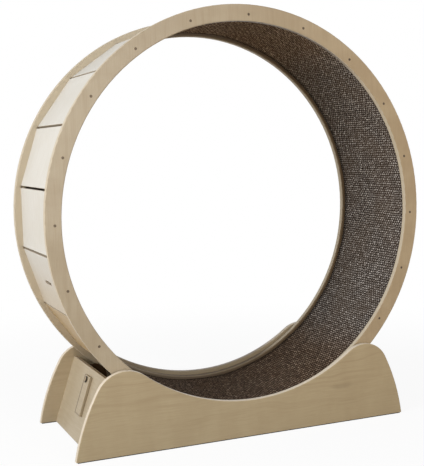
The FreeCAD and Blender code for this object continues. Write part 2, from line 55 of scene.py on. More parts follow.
RING_LOW, RING_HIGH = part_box("ring_front")
MAT_LOW, MAT_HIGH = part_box("running_mat")
WHEEL_RADIUS = (RING_HIGH[0] - RING_LOW[0]) / 2
WHEEL_Z = (RING_HIGH[2] + RING_LOW[2]) / 2
PANEL_FACE = -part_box("side_panel_front")[0][1]
PANEL_LEAN = math.radians(18.0)          # of the end panels and the lock bar, inwards
SLAT_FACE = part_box("slat_01")[1][0]
SLATS = [name for name in sorted(frame["nodes"]) if name.startswith("slat_")]

# ------------------------------------------------------------------ camera, from the photograph

PHOTO_WIDTH = 424
PHOTO_HEIGHT = 466
FOCAL_PIXELS = 888.8
LENS_CENTRE = (250.5, 304.5)             # pixel that the lens axis meets
CAMERA_PLACE = Vector((-1.0547, -2.3187, WHEEL_Z + 0.1696))
CAMERA_YAW = math.radians(26.29)         # from +Y towards +X
CAMERA_PITCH = math.radians(-9.61)
CAMERA_ROLL = math.radians(-0.235)
SENSOR = 36.0                            # millimetres


def make_camera():
    camera = bpy.data.objects.new("camera", bpy.data.cameras.new("camera"))
    bpy.context.scene.collection.objects.link(camera)
    forward = Vector((math.sin(CAMERA_YAW) * math.cos(CAMERA_PITCH),
                      math.cos(CAMERA_YAW) * math.cos(CAMERA_PITCH),
                      math.sin(CAMERA_PITCH)))
    level = forward.cross(Vector((0, 0, 1))).normalized()
    upright = level.cross(forward)
    right = math.cos(CAMERA_ROLL) * level + math.sin(CAMERA_ROLL) * upright
    up = right.cross(forward)
    turn = Matrix((right, up, -forward)).transposed().to_4x4()
    camera.matrix_world = Matrix.Translation(CAMERA_PLACE) @ turn
    camera.data.sensor_fit = "VERTICAL"
    camera.data.sensor_height = SENSOR
    camera.data.lens = FOCAL_PIXELS * SENSOR / PHOTO_HEIGHT
    camera.data.shift_x = (PHOTO_WIDTH / 2 - LENS_CENTRE[0]) / PHOTO_HEIGHT
    camera.data.shift_y = (LENS_CENTRE[1] - PHOTO_HEIGHT / 2) / PHOTO_HEIGHT
    bpy.context.scene.camera = camera


# ------------------------------------------------------------------ node helpers

def new_material(name):
    material = bpy.data.materials.new(name)
    material.use_nodes = True
    material.node_tree.nodes.clear()
    return material, material.node_tree


def add(tree, kind, inputs=None, **settings):
    node = tree.nodes.new(kind)
    for key, value in settings.items():
        setattr(node, key, value)
    for key, value in (inputs or {}).items():
        if isinstance(value, bpy.types.NodeSocket):
            tree.links.new(value, node.inputs[key])
        else:
            node.inputs[key].default_value = value
    return node


def calc(tree, operation, first, second=0.0, third=0.0):
    return add(tree, "ShaderNodeMath", {0: first, 1: second, 2: third}, operation=operation).outputs[0]


def product(tree, result, *others):
    for other in others:
        result = calc(tree, "MULTIPLY", result, other)
    return result


def weighted(tree, first, first_weight, second, second_weight):
    """Sum of two values, each times its weight, as where an axis is turned."""
    return calc(tree, "ADD", product(tree, first, first_weight), product(tree, second, second_weight))


def vector(tree, x, y, z):
    return add(tree, "ShaderNodeCombineXYZ", {0: x, 1: y, 2: z}).outputs[0]


def distance(tree, x, y):
    return add(tree, "ShaderNodeVectorMath", {0: vector(tree, x, y, 0.0)},
               operation="LENGTH").outputs["Value"]


def span(tree, value, low, high, to_low=0.0, to_high=1.0):
    """Map a value from one span to another, smoothly and without overshoot."""
    inputs = {"Value": value, "From Min": low, "From Max": high, "To Min": to_low, "To Max": to_high}
    return add(tree, "ShaderNodeMapRange", inputs, interpolation_type="SMOOTHSTEP").outputs[0]


def noise(tree, where, scale, detail, roughness=0.55):
    inputs = {"Vector": where, "Scale": scale, "Detail": detail, "Roughness": roughness}
    return add(tree, "ShaderNodeTexNoise", inputs).outputs["Fac"]


def stretched_noise(tree, first, second, third, scales, detail, roughness=0.55):
    """Noise with a scale of its own along each of the first two directions; the third comes scaled."""
    where = vector(tree, product(tree, first, scales[0]), product(tree, second, scales[1]), third)
    return noise(tree, where, 1.0, detail, roughness)


def blend_value(tree, factor, first, second):
    return calc(tree, "MULTIPLY_ADD", factor, calc(tree, "SUBTRACT", second, first), first)


def blend_colour(tree, factor, first, second, mode="MIX"):
    node = add(tree, "ShaderNodeMix", data_type="RGBA", blend_type=mode)
    for index, value in ((0, factor), (6, first), (7, second)):
        if isinstance(value, bpy.types.NodeSocket):
            tree.links.new(value, node.inputs[index])
        elif index:
            node.inputs[index].default_value = (*value, 1.0)
        else:
            node.inputs[index].default_value = value
    return node.outputs[2]


def darker(colour, share):
    return tuple(value * share for value in colour)


def object_axes(tree):
    """Place and facing on the piece itself, so that a pattern rides with it."""
    coords = add(tree, "ShaderNodeTexCoord")
    place = add(tree, "ShaderNodeSeparateXYZ", {0: coords.outputs["Object"]})
    facing = add(tree, "ShaderNodeSeparateXYZ", {0: coords.outputs["Normal"]})
    return coords.outputs["Object"], place.outputs, facing.outputs


def drum_axes(tree):
    """Length round the drum, place across it, distance from its axis, angle, and how far the surface
    faces outwards."""
    _, place, facing = object_axes(tree)
    height = calc(tree, "SUBTRACT", place[2], WHEEL_Z)
    angle = calc(tree, "ARCTAN2", height, place[0])
    outward = weighted(tree, facing[0], calc(tree, "COSINE", angle), facing[2], calc(tree, "SINE", angle))
    return product(tree, angle, WHEEL_RADIUS), place[1], distance(tree, place[0], height), angle, outward


def leaning_axes(tree):
    """Way up the slope and depth into the sheet of an end panel, on either end of the base, with place
    and facing."""
    _, place, facing = object_axes(tree)
    outward = calc(tree, "ABSOLUTE", place[0])
    up = weighted(tree, place[2], math.cos(PANEL_LEAN), outward, -math.sin(PANEL_LEAN))
    through = weighted(tree, place[2], math.sin(PANEL_LEAN), outward, math.cos(PANEL_LEAN))
    return up, through, place, facing


def leaning_depth(node):
    """Place of a leaning piece's outer face, as a distance square to it."""
    low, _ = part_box(node)
    return -low[0] * math.cos(PANEL_LEAN) + low[2] * math.sin(PANEL_LEAN)


def surface(tree, colour, roughness, height, bump, depth, metallic=0.0, coat=0.0, specular=0.5):
    """The material's shader; height is its relief, depth that relief's size, and bump its strength."""
    relief = add(tree, "ShaderNodeBump", {"Strength": bump, "Distance": depth, "Height": height})
    shader = add(tree, "ShaderNodeBsdfPrincipled",
                 {"Base Color": colour, "Roughness": roughness, "Metallic": metallic, "Coat Weight": coat,
                  "Specular IOR Level": specular, "Normal": relief.outputs[0]})
    out = add(tree, "ShaderNodeOutputMaterial")
    tree.links.new(shader.outputs[0], out.inputs[0])


# ------------------------------------------------------------------ veneer and sawn edges

# pale and deep are the face's two tones, edge the sawn edge's pale one; figure and cloud are how much of deep
# the growth lines and the clouds carry, sway is how far the growth lines wander, lines their number per metre
# across the grain, sheet the thickness, plies the number of layers in it, and layers how dark every other one
# is at the edge.  The rest is for rings and side panels.  bare_share is how far the inner face keeps the raw
# edge's tone, at more than bare_from from the wheel's axis and unshaded_above from the floor, below which the
# darker veneer is left as painted shade; warm_share is how far the right-hand end is warmer;
# rounding_dark_share is how far the rounded edges are darkened to brown; under_shade_share is how much
# painted shade browns the front one's sawn edge where it faces down, over_shade_share the back one's where it
# faces up, low in the drum, and within_shade_share how much painted shade browns the inner face between the
# end panels, twice as much at the left of the drum.
WOODS = {
    "ring": {"pale": (0.432, 0.354, 0.243), "deep": (0.307, 0.226, 0.134), "edge": (0.60, 0.51, 0.37),
             "figure": 0.32, "cloud": 0.38, "sway": 0.10, "lines": 55.0,
             "sheet": 0.015, "plies": 7, "layers": 0.30,
             "bare_share": 0.70, "bare_from": 0.524, "unshaded_above": 0.19, "warm_share": 1.0,
             "rounding_dark_share": 0.22, "under_shade_share": 0.9, "over_shade_share": 0.92, "within_shade_share": 0.0},
    "panel": {"pale": (0.445, 0.350, 0.208), "deep": (0.305, 0.213, 0.110), "edge": (0.76, 0.66, 0.52),
              "figure": 0.42, "cloud": 0.24, "sway": 0.085, "lines": 42.0,
              "sheet": 0.015, "plies": 7, "layers": 0.30,
              "bare_share": 0.15, "bare_from": 0.0, "unshaded_above": -1.0, "warm_share": 0.3,
              "rounding_dark_share": 0.06, "under_shade_share": 0.0, "over_shade_share": 0.60, "within_shade_share": 0.25},
    "end": {"pale": (0.430, 0.352, 0.235), "deep": (0.310, 0.229, 0.138), "edge": (0.56, 0.49, 0.38),
            "figure": 0.25, "cloud": 0.30, "sway": 0.05, "lines": 60.0,
            "sheet": 0.015, "plies": 3, "layers": 0.85},
    "bar": {"pale": (0.430, 0.352, 0.235), "deep": (0.310, 0.229, 0.138), "edge": (0.43, 0.35, 0.23),
            "figure": 0.25, "cloud": 0.30, "sway": 0.05, "lines": 60.0,
            "sheet": 0.015, "plies": 3, "layers": 0.2},
    "slat": {"pale": (0.655, 0.625, 0.565), "deep": (0.530, 0.480, 0.395), "edge": (0.36, 0.28, 0.19),
             "figure": 0.20, "cloud": 0.22, "sway": 0.012, "lines": 110.0,
             "sheet": 0.009, "plies": 5, "layers": 0.5},
    "beech": {"pale": (0.50, 0.36, 0.21), "deep": (0.36, 0.23, 0.12), "edge": (0.50, 0.36, 0.21),
              "figure": 0.3, "cloud": 0.2, "sway": 0.02, "lines": 200.0,
              "sheet": 0.008, "plies": 1, "layers": 0.3},
}

# Patterns of a veneer, with their scales along the grain and across it.
SWAY_SCALE = (3.2, 6.0)
FADE_SCALE = (4.0, 9.0)
FADE_SEED = 3.0
FIBRE_SCALE = (14.0, 420.0)
PORE_SCALE = (45.0, 900.0)
CLOUD_SCALE = (12.0, 6.0)
LATE_GROWTH = (0.46, 0.70)
FADED_GROWTH = (0.30, 0.65, 0.25, 1.0)
PORES = (0.66, 0.78)
PORE_SHARE = 0.30
PORE_DARKNESS = 0.62
PORE_DEPTH = 0.5                         # in fibre heights
FIBRE_SHADE = (0.35, 0.75, 0.0, 0.30)
CLOUD_SHADE = (0.32, 0.68)
VENEER_ROUGHNESS = (0.2, 0.8, 0.42, 0.60)
VENEER_RELIEF = {"bump": 0.25, "depth": 0.0004}
LACQUER_COAT = 0.08
SLAT_SPECULAR = 0.3

# The knot's place and half sizes; the growth lines crowd round it and its eye is dark, both in half sizes.
PANEL_KNOT = {"along": 0.285, "across": 0.112, "length": 0.044, "width": 0.011}
KNOT_CROWDING = (0.4, 4.5, 0.22, 1.0)
KNOT_EYE = (1.1, 0.35, 0.0, 0.25)

# The sawn edge: the borders of its layers waver, and its cells show as fine specks.
WAVER_SCALE = (60.0, 2.0)
WAVER = 0.0004
LAYER_BORDER = (0.35, -0.35)
CELL_SCALE = (500.0, 1400.0)
CELL_SHADE = (0.45, 0.75, 0.0, 0.12)


def bend_round_knot(tree, along, line, knot):
    """The growth lines' places with the knot among them, and how dark its eye is."""
    off_along = calc(tree, "SUBTRACT", along, knot["along"])
    off_line = calc(tree, "SUBTRACT", line, knot["across"])
    reach = distance(tree, calc(tree, "DIVIDE", off_along, knot["length"]),
                     calc(tree, "DIVIDE", off_line, knot["width"]))
    bent = calc(tree, "MULTIPLY_ADD", off_line, span(tree, reach, *KNOT_CROWDING), knot["across"])
    return bent, span(tree, reach, *KNOT_EYE)


def growth_lines(tree, along, across, line, wood, seed):
    """How much late wood a growth line shows, faded here and there along the grain."""
    inputs = {"W": calc(tree, "MULTIPLY_ADD", line, wood["lines"], seed), "Scale": 1.0, "Detail": 3.0,
              "Roughness": 0.55}
    growth = add(tree, "ShaderNodeTexNoise", inputs, noise_dimensions="1D").outputs["Fac"]
    fade = stretched_noise(tree, along, across, seed + FADE_SEED, FADE_SCALE, 2.0)
    return product(tree, span(tree, growth, *LATE_GROWTH), span(tree, fade, *FADED_GROWTH))


def veneer(tree, along, across, through, wood, seed, knot=None):
    """Colour, relief and roughness of a veneer.  The first three are metres along the grain, across it
    on the face, and through the sheet; wood is a row of WOODS."""
    sway = stretched_noise(tree, along, across, seed, SWAY_SCALE, 2.0)
    line = calc(tree, "MULTIPLY_ADD", calc(tree, "SUBTRACT", sway, 0.5), wood["sway"], across)
    if knot:
        line, eye = bend_round_knot(tree, along, line, knot)
    late = growth_lines(tree, along, across, line, wood, seed)
    fibre = stretched_noise(tree, along, across, product(tree, through, FIBRE_SCALE[1]), FIBRE_SCALE, 5.0,
                            0.65)
    pore_noise = stretched_noise(tree, along, across, product(tree, through, PORE_SCALE[1]), PORE_SCALE, 2.0)
    pores = span(tree, pore_noise, *PORES)
    cloud = stretched_noise(tree, along, across, seed * CLOUD_SCALE[1], CLOUD_SCALE, 3.0)
    clouded = product(tree, span(tree, cloud, *CLOUD_SHADE), wood["cloud"])
    dark = darker(wood["deep"], PORE_DARKNESS)
    colour = blend_colour(tree, product(tree, late, wood["figure"]), wood["pale"], wood["deep"])
    colour = blend_colour(tree, span(tree, fibre, *FIBRE_SHADE), colour, wood["deep"])
    colour = blend_colour(tree, clouded, colour, wood["deep"])
    colour = blend_colour(tree, product(tree, pores, PORE_SHARE), colour, dark)
    if knot:
        colour = blend_colour(tree, eye, colour, dark)
    relief = calc(tree, "SUBTRACT", fibre, product(tree, pores, PORE_DEPTH))
    return colour, relief, span(tree, fibre, *VENEER_ROUGHNESS)


def ply_edge(tree, depth, along, wood):
    """Colour of the sawn edge of plywood: thin layers from its face down, every other one end grain."""
    waver = stretched_noise(tree, along, depth, 0.0, WAVER_SCALE, 2.0)
    place = calc(tree, "MULTIPLY_ADD", calc(tree, "SUBTRACT", waver, 0.5), WAVER, depth)
    turns = product(tree, place, math.pi * wood["plies"] / wood["sheet"])
    layer = span(tree, calc(tree, "SINE", turns), *LAYER_BORDER)
    cells = stretched_noise(tree, along, depth, 0.0, CELL_SCALE, 3.0)
    colour = blend_colour(tree, product(tree, layer, wood["layers"]), wood["edge"], wood["deep"])
    return blend_colour(tree, span(tree, cells, *CELL_SHADE), colour, wood["deep"])


# ------------------------------------------------------------------ rings and side panels

# the brown of painted shade, and of the darkened rounded edges
SHADE_BROWN = (0.115, 0.075, 0.040)
WARM_TINT = (0.98, 0.89, 0.76)
WARM_END = (-0.30, 0.50)                 # along X
FACE_TO_EDGE = (0.80, 0.55)              # how squarely the surface faces: the veneer, then the sawn edge
ROUNDED_FROM_EDGE = (0.10, 0.35)
ROUNDED_FROM_FACE = (0.97, 0.85)

# Tones of the inner face, its raw tone and painted shade, by its depth under the outer one, its distance
# from the wheel's axis, its height over the floor and its place along X.
INNER_FACE = (0.010, 0.012)
SLAT_BORDER = 0.004
BARE_RISE = 0.15
SHADE_BESIDE_MAT = (0.508, 0.515, 0.3, 0.9)
SHADE_BETWEEN_ENDS = (0.400, 0.388)
SHADE_DRUM_LEFT = (-0.02, -0.20, 0.0, 2.0)
SHADE_DRUM_LEFT_END = (-0.345, -0.315)

# Darkened rounded edges, and painted shade on stretches of the sawn edges.
FACING_DOWN = (-0.70, -0.90)
FACING_UP = (0.45, 0.75)
FRONT_HALF = (0.01, -0.01)               # along Y
LOW_HALF = (WHEEL_Z, WHEEL_Z - 0.1)
LOW_STRETCH_MIDDLE = -0.03               # along X
LOW_STRETCH = (0.31, 0.22)               # from that middle


def tone_inner_face(tree, colour, place, depth, wood):
    """Raw wood beyond the slats, held off the low part as painted shade, and painted shade beside the mat and
    between the end panels.
    """
    from_axis = distance(tree, place[0], calc(tree, "SUBTRACT", place[2], WHEEL_Z))
    inner_face = span(tree, depth, *INNER_FACE)
    beyond_slats = span(tree, from_axis, wood["bare_from"], wood["bare_from"] + SLAT_BORDER)
    # the raw tone stops low in the drum, where the darker veneer is left as painted shade
    above = span(tree, place[2], wood["unshaded_above"], wood["unshaded_above"] + BARE_RISE)
    bare = product(tree, inner_face, beyond_slats, above, wood["bare_share"])
    colour = blend_colour(tree, bare, colour, wood["edge"])
    # painted shade in brown beside the mat, between the end panels and at the drum's left
    shade_beside_mat = product(tree, span(tree, from_axis, *SHADE_BESIDE_MAT),
                         calc(tree, "SUBTRACT", 1.0, beyond_slats))
    between_ends = span(tree, calc(tree, "ABSOLUTE", place[0]), *SHADE_BETWEEN_ENDS)
    at_left = product(tree, span(tree, place[0], *SHADE_DRUM_LEFT), span(tree, place[0], *SHADE_DRUM_LEFT_END))
    within = product(tree, beyond_slats, calc(tree, "MAXIMUM", between_ends, at_left), wood["within_shade_share"])
    brown = product(tree, inner_face, calc(tree, "MAXIMUM", shade_beside_mat, within))
    return blend_colour(tree, brown, colour, SHADE_BROWN)


def brown_sawn_edges(tree, colour, place, facing, wood):
    """Darken the rounded edges to brown, and paint shade in brown on the front sheet's edge where it faces
    down and on the back one's where it faces up low in the drum."""
    square = calc(tree, "ABSOLUTE", facing[1])
    # the rounded edges darkened to brown
    darkened_rounding = product(tree, span(tree, square, *ROUNDED_FROM_EDGE), span(tree, square, *ROUNDED_FROM_FACE),
                     wood["rounding_dark_share"])
    # painted shade on the front sheet's edge where it faces down, and on the back one's where it faces up low
    at_front = span(tree, place[1], *FRONT_HALF)
    under = product(tree, span(tree, facing[2], *FACING_DOWN), at_front, wood["under_shade_share"])
    off_middle = calc(tree, "ABSOLUTE", calc(tree, "SUBTRACT", place[0], LOW_STRETCH_MIDDLE))
    over = product(tree, span(tree, facing[2], *FACING_UP), span(tree, place[2], *LOW_HALF),
                   span(tree, off_middle, *LOW_STRETCH), calc(tree, "SUBTRACT", 1.0, at_front),
                   wood["over_shade_share"])
    brown = calc(tree, "MAXIMUM", darkened_rounding, calc(tree, "MAXIMUM", under, over))
    return blend_colour(tree, brown, colour, SHADE_BROWN)


def make_plywood(name, wood, grain, outer_face, seed, knot=None):
    """Lacquered plywood of two sheets across Y, their outer faces that far from the middle; grain is the
    axis along the grain."""
    material, tree = new_material(name)
    _, place, facing = object_axes(tree)
    along = place["XYZ".index(grain)]
    side = place[{"X": 2, "Z": 0}[grain]]
    depth = calc(tree, "SUBTRACT", outer_face, calc(tree, "ABSOLUTE", place[1]))
    colour, relief, roughness = veneer(tree, along, side, depth, wood, seed, knot)
    colour = tone_inner_face(tree, colour, place, depth, wood)
    warmth = product(tree, span(tree, place[0], *WARM_END), wood["warm_share"])
    colour = blend_colour(tree, warmth, colour, WARM_TINT, "MULTIPLY")
    edge_colour = ply_edge(tree, depth, calc(tree, "ADD", along, side), wood)
    on_edge = span(tree, calc(tree, "ABSOLUTE", facing[1]), *FACE_TO_EDGE)
    colour = blend_colour(tree, on_edge, colour, edge_colour)
    colour = brown_sawn_edges(tree, colour, place, facing, wood)
    surface(tree, colour, roughness, relief, coat=LACQUER_COAT, **VENEER_RELIEF)
    return material


# ------------------------------------------------------------------ slats

# Two slats low on the left-hand side are tinted browner, and the one above them begins to turn; angles
# from the wheel's right-hand side.
BROWNING_SLAT = (math.radians(-171.0), math.radians(-153.2), 0.0, 0.45)
BROWN_SLATS_START = (math.radians(-153.2), math.radians(-152.8))
BROWN_SLATS_END = (math.radians(-116.8), math.radians(-117.2))
BROWN_SLAT_TINT = (0.80, 0.61, 0.36)


def make_slat_plywood(name, wood, seed):
    """Plywood of the slats, with the grain round the drum."""
    material, tree = new_material(name)
    around, across, radius, angle, outward = drum_axes(tree)
    colour, relief, roughness = veneer(tree, around, across, radius, wood, seed)
    browning = calc(tree, "MAXIMUM", span(tree, angle, *BROWNING_SLAT), span(tree, angle, *BROWN_SLATS_START))
    brown_slat = product(tree, browning, span(tree, angle, *BROWN_SLATS_END))
    colour = blend_colour(tree, brown_slat, colour, BROWN_SLAT_TINT, "MULTIPLY")
    depth = calc(tree, "SUBTRACT", SLAT_FACE, radius)
    edge_colour = ply_edge(tree, depth, calc(tree, "ADD", around, across), wood)
    on_edge = span(tree, calc(tree, "ABSOLUTE", outward), *FACE_TO_EDGE)
    colour = blend_colour(tree, on_edge, colour, edge_colour)
    surface(tree, colour, roughness, relief, specular=SLAT_SPECULAR, **VENEER_RELIEF)
    return material


# ------------------------------------------------------------------ end panels and lock bar

SLOPE_TO_EDGE = (0.55, 0.80)             # how squarely the surface faces up or down the slope

# Painted shade on the lock bar, along its back edge and on its sides at the panel that it lies on, and a
# darker foot; by distance from its back edge, its foot and the panel.
BAR_BACK_RIM = (0.0078, 0.0050)
BAR_FOOT = (0.0075, 0.0050, 0.0, 0.6)
BAR_SEAT = (0.0035, 0.0012, 0.0, 0.5)
BAR_SHADE_SHARE = 0.9
BAR_SIDE = (0.5, 0.8)                    # how squarely the surface faces along Y


def shade_bar(tree, colour, node, through, place, facing):
    """Paint shade along the far rim of a leaning bar's outer face and on its sides where they meet the panel,
    and darken the foot of its outer face."""
    low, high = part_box(node)
    from_back = calc(tree, "SUBTRACT", high[1], place[1])
    from_foot = calc(tree, "SUBTRACT", place[2], low[2])
    on_side = span(tree, calc(tree, "ABSOLUTE", facing[1]), *BAR_SIDE)
    near_rim = calc(tree, "MAXIMUM", span(tree, from_back, *BAR_BACK_RIM), span(tree, from_foot, *BAR_FOOT))
    rim = product(tree, near_rim, calc(tree, "SUBTRACT", 1.0, on_side))
    above_panel = calc(tree, "SUBTRACT", through, leaning_depth("end_panel_left"))
    seat = product(tree, on_side, span(tree, above_panel, *BAR_SEAT))
    brown = product(tree, calc(tree, "MAXIMUM", rim, seat), BAR_SHADE_SHARE)
    return blend_colour(tree, brown, colour, SHADE_BROWN)


def make_leaning_plywood(name, wood, seed, shaded_node=None):
    """Plywood of the end panels and the lock bar, with the grain across the base.  shaded_node is the node
    that gets painted shade along its edges, and a darker foot."""
    material, tree = new_material(name)
    up, through, place, facing = leaning_axes(tree)
    colour, relief, roughness = veneer(tree, place[1], up, through, wood, seed)
    facing_outward = product(tree, facing[0], calc(tree, "SIGN", place[0]))
    facing_up = weighted(tree, facing[2], math.cos(PANEL_LEAN), facing_outward, -math.sin(PANEL_LEAN))
    depth = calc(tree, "SUBTRACT", leaning_depth("end_panel_left"), through)
    edge_colour = ply_edge(tree, depth, place[1], wood)
    on_edge = span(tree, calc(tree, "ABSOLUTE", facing_up), *SLOPE_TO_EDGE)
    colour = blend_colour(tree, on_edge, colour, edge_colour)
    if shaded_node:
        colour = shade_bar(tree, colour, shaded_node, through, place, facing)
    surface(tree, colour, roughness, relief, coat=LACQUER_COAT, **VENEER_RELIEF)
    return material


# ------------------------------------------------------------------ metal, plastic and rubber

MIDDLE_OF_NOISE = (0.3, 0.7)
DRAWN_ALONG_Y = (1.0, 0.05, 1.0)
UNDRAWN = (1.0, 1.0, 1.0)
MARK_SCALE = 900.0
DULL_SCALE = 60.0
DULL_PATCHES = (0.35, 0.70, 0.0, 0.40)
DULL_DARKNESS = 0.65
METAL_ROUGHNESS_SPREAD = (0.8, 1.3)
METAL_RELIEF = {"bump": 0.15, "depth": 0.0001}

GRAIN_SCALE = 1400.0
WEAR_SCALE = 45.0
WORN = (0.5, 0.8)
WORN_LIGHTER = (1.6, 0.02)               # times that much, and that much more
MOULDED_ROUGHNESS_SPREAD = (0.85, 1.2)
MOULDED_RELIEF = {"bump": 0.12, "depth": 0.0002}

KNOB_DARK = (0.028, 0.017, 0.008)
# tan of the painted highlight in the knob's middle
KNOB_HIGHLIGHT = (0.330, 0.250, 0.150)
KNOB_PATCH_SCALE = 300.0
KNOB_MIDDLE = (0.0070, 0.0055)           # from the knob's axis
KNOB_HIGHLIGHT_PATCHES = (0.2, 0.6, 0.75, 1.0)
KNOB_ROUGHNESS = (*MIDDLE_OF_NOISE, 0.28, 0.40)
KNOB_RELIEF = {"bump": 0.1, "depth": 0.0002}
KNOB_SPECULAR = 0.3


def make_metal(name, colour, roughness, drawn=UNDRAWN, metallic=1.0):
    """Metal with dull patches and fine marks; drawn shortens the marks' scale along the axes."""
    material, tree = new_material(name)
    where, _, _ = object_axes(tree)
    stretched = add(tree, "ShaderNodeVectorMath", {0: where, 1: drawn}, operation="MULTIPLY").outputs[0]
    marks = noise(tree, stretched, MARK_SCALE, 4.0)
    dull = noise(tree, where, DULL_SCALE, 3.0)
    shade = blend_colour(tree, span(tree, dull, *DULL_PATCHES), colour, darker(colour, DULL_DARKNESS))
    least, most = (roughness * factor for factor in METAL_ROUGHNESS_SPREAD)
    rough = span(tree, marks, *MIDDLE_OF_NOISE, least, most)
    surface(tree, shade, rough, marks, metallic=metallic, **METAL_RELIEF)
    return material


def make_moulded(name, colour, roughness, scuff=0.3, specular=0.5):
    """Moulded plastic or rubber: a fine grain, and scuffs that lighten it."""
    material, tree = new_material(name)
    where, _, _ = object_axes(tree)
    grain = noise(tree, where, GRAIN_SCALE, 2.0)
    patch_noise = noise(tree, where, WEAR_SCALE, 4.0, 0.65)
    lighter = tuple(value * WORN_LIGHTER[0] + WORN_LIGHTER[1] for value in colour)
    shade = blend_colour(tree, product(tree, span(tree, patch_noise, *WORN), scuff), colour, lighter)
    least, most = (roughness * factor for factor in MOULDED_ROUGHNESS_SPREAD)
    rough = span(tree, patch_noise, *MIDDLE_OF_NOISE, least, most)
    surface(tree, shade, rough, grain, specular=specular, **MOULDED_RELIEF)
    return material


def make_knob_plastic(name):
    """Dark gloss with a tan painted highlight in its middle, broken into patches."""
    material, tree = new_material(name)
    where, place, _ = object_axes(tree)
    low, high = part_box("lock_knob")
    middle = (Vector(low) + Vector(high)) / 2
    off_x, off_y, off_z = (calc(tree, "SUBTRACT", place[axis], middle[axis]) for axis in range(3))
    off_up = weighted(tree, off_x, math.sin(PANEL_LEAN), off_z, math.cos(PANEL_LEAN))
    patch_noise = noise(tree, where, KNOB_PATCH_SCALE, 3.0)
    # the painted highlight, in the middle and in patches
    highlight_mask = product(tree, span(tree, distance(tree, off_y, off_up), *KNOB_MIDDLE),
                   span(tree, patch_noise, *KNOB_HIGHLIGHT_PATCHES))
    colour = blend_colour(tree, highlight_mask, KNOB_DARK, KNOB_HIGHLIGHT)
    surface(tree, colour, span(tree, patch_noise, *KNOB_ROUGHNESS), patch_noise, specular=KNOB_SPECULAR, **KNOB_RELIEF)
    return material


# ------------------------------------------------------------------ running mat

THREAD_PITCH = 0.007
LOOP_STRETCH = 1.5                       # a loop is this much longer across the drum than round it
MAT_LAID_STRIP = 0.036                   # lies flat on the middle of each slat
MAT_THICKNESS = 0.004
MAT_SEAM = 0.0008
WEAVE_DEPTH = 0.0013
LOOP_LOFT = (0.65, 1.0)                  # least and greatest height, in weave depths
LOW_LOOP_DROP = 0.25                     # every other loop is this much lower
LOOP_FLANK = 0.45                        # half way from a gap to a loop
RANDOM_SEED = 11

MAT_GAP = (0.014, 0.009, 0.006)
MAT_YARN = (0.178, 0.148, 0.126)
MAT_LIGHT = (0.580, 0.525, 0.475)
MAT_BROWN = (0.130, 0.085, 0.052)
MAT_BACKING = (0.010, 0.009, 0.008)

# Patterns of the woven face, with their scales round the drum and across it.
WARP_SCALE = (55.0, 55.0)
WARP_LOOPS = 1.1                         # how far the rows wander, in loops
CROWN_TO_YARN = (0.16, 0.55)
CROWN_TO_LIGHT = (0.30, 0.85)
LOOP_SHADES = (0.0, 1.0, 0.12, 0.90)
MOTTLE_SCALE = (75.0, 75.0)
MOTTLE_SEED = 7.0
MOTTLE = (0.34, 0.66, 0.35, 1.45)
FLECK_SCALE = (420.0, 900.0)
FLECK_SHADE = (0.52, 0.75, 0.0, 0.40)
FLECK_HEIGHT = 0.5                       # in crown heights
MAT_CLOUD_SCALE = (7.0, 7.0)
MAT_CLOUDS = (0.35, 0.70, 0.0, 0.25)
# painted shadow along both rims of the mat, next to the rings
MAT_RIM_SHADOW = (0.024, 0.004, 0.0, 0.65)
BACK_OF_MAT = (0.2, 0.6)                 # how far the surface faces outwards
WEAVE_ROUGHNESS = 0.95
WEAVE_RELIEF = {"bump": 0.8, "depth": 0.0016}
WEAVE_SPECULAR = 0.06

# Painted shade at the bottom, browner and streaked darker, and painted light at the top, warmer and
# brighter, by the sine of the angle round the drum.
MAT_SHADED_BOTTOM = (-0.60, -0.88)
MAT_SHADE_TINT = (0.90, 0.73, 0.58)
STREAK_SCALE = (130.0, 40.0)
STREAK_SEED = 3.0
STREAKS = (0.36, 0.60, 0.45, 0.0)
MAT_LIT_TOP = (0.75, 0.95)
MAT_TOP_LIGHT_TINT = (1.30, 1.12, 0.94)


def threads_round():
    return round(2 * math.pi * MAT_HIGH[0] / THREAD_PITCH)


def loop_places(tree, around, across, angle):
    """Row and column of the mat's loops: wandering a little, with every other row half a loop further."""
    warp = stretched_noise(tree, around, across, 0.0, WARP_SCALE, 2.0)
    wander = product(tree, calc(tree, "SUBTRACT", warp, 0.5), WARP_LOOPS)
    row = calc(tree, "ADD", product(tree, angle, threads_round() / (2 * math.pi)), wander)
    shift = product(tree, calc(tree, "FLOORED_MODULO", calc(tree, "FLOOR", row), 2.0), 0.5)
    column = calc(tree, "ADD", product(tree, across, 1.0 / (THREAD_PITCH * LOOP_STRETCH)),
                  calc(tree, "ADD", shift, wander))
    return row, column


def hump(tree, value):
    return calc(tree, "ABSOLUTE", calc(tree, "SINE", product(tree, value, math.pi)))


def shade_and_light_mat(tree, colour, around, across, angle):
    """Painted shade at the bottom of the drum, browner and streaked darker; painted light at the top, warmer
    and brighter.
    """
    upward = calc(tree, "SINE", angle)
    shaded_bottom = span(tree, upward, *MAT_SHADED_BOTTOM)
    streak_noise = stretched_noise(tree, around, across, STREAK_SEED, STREAK_SCALE, 2.0)
    streak_mask = product(tree, shaded_bottom, span(tree, streak_noise, *STREAKS))
    colour = blend_colour(tree, shaded_bottom, colour, MAT_SHADE_TINT, "MULTIPLY")
    colour = blend_colour(tree, streak_mask, colour, MAT_GAP)
    return blend_colour(tree, span(tree, upward, *MAT_LIT_TOP), colour, MAT_TOP_LIGHT_TINT, "MULTIPLY")


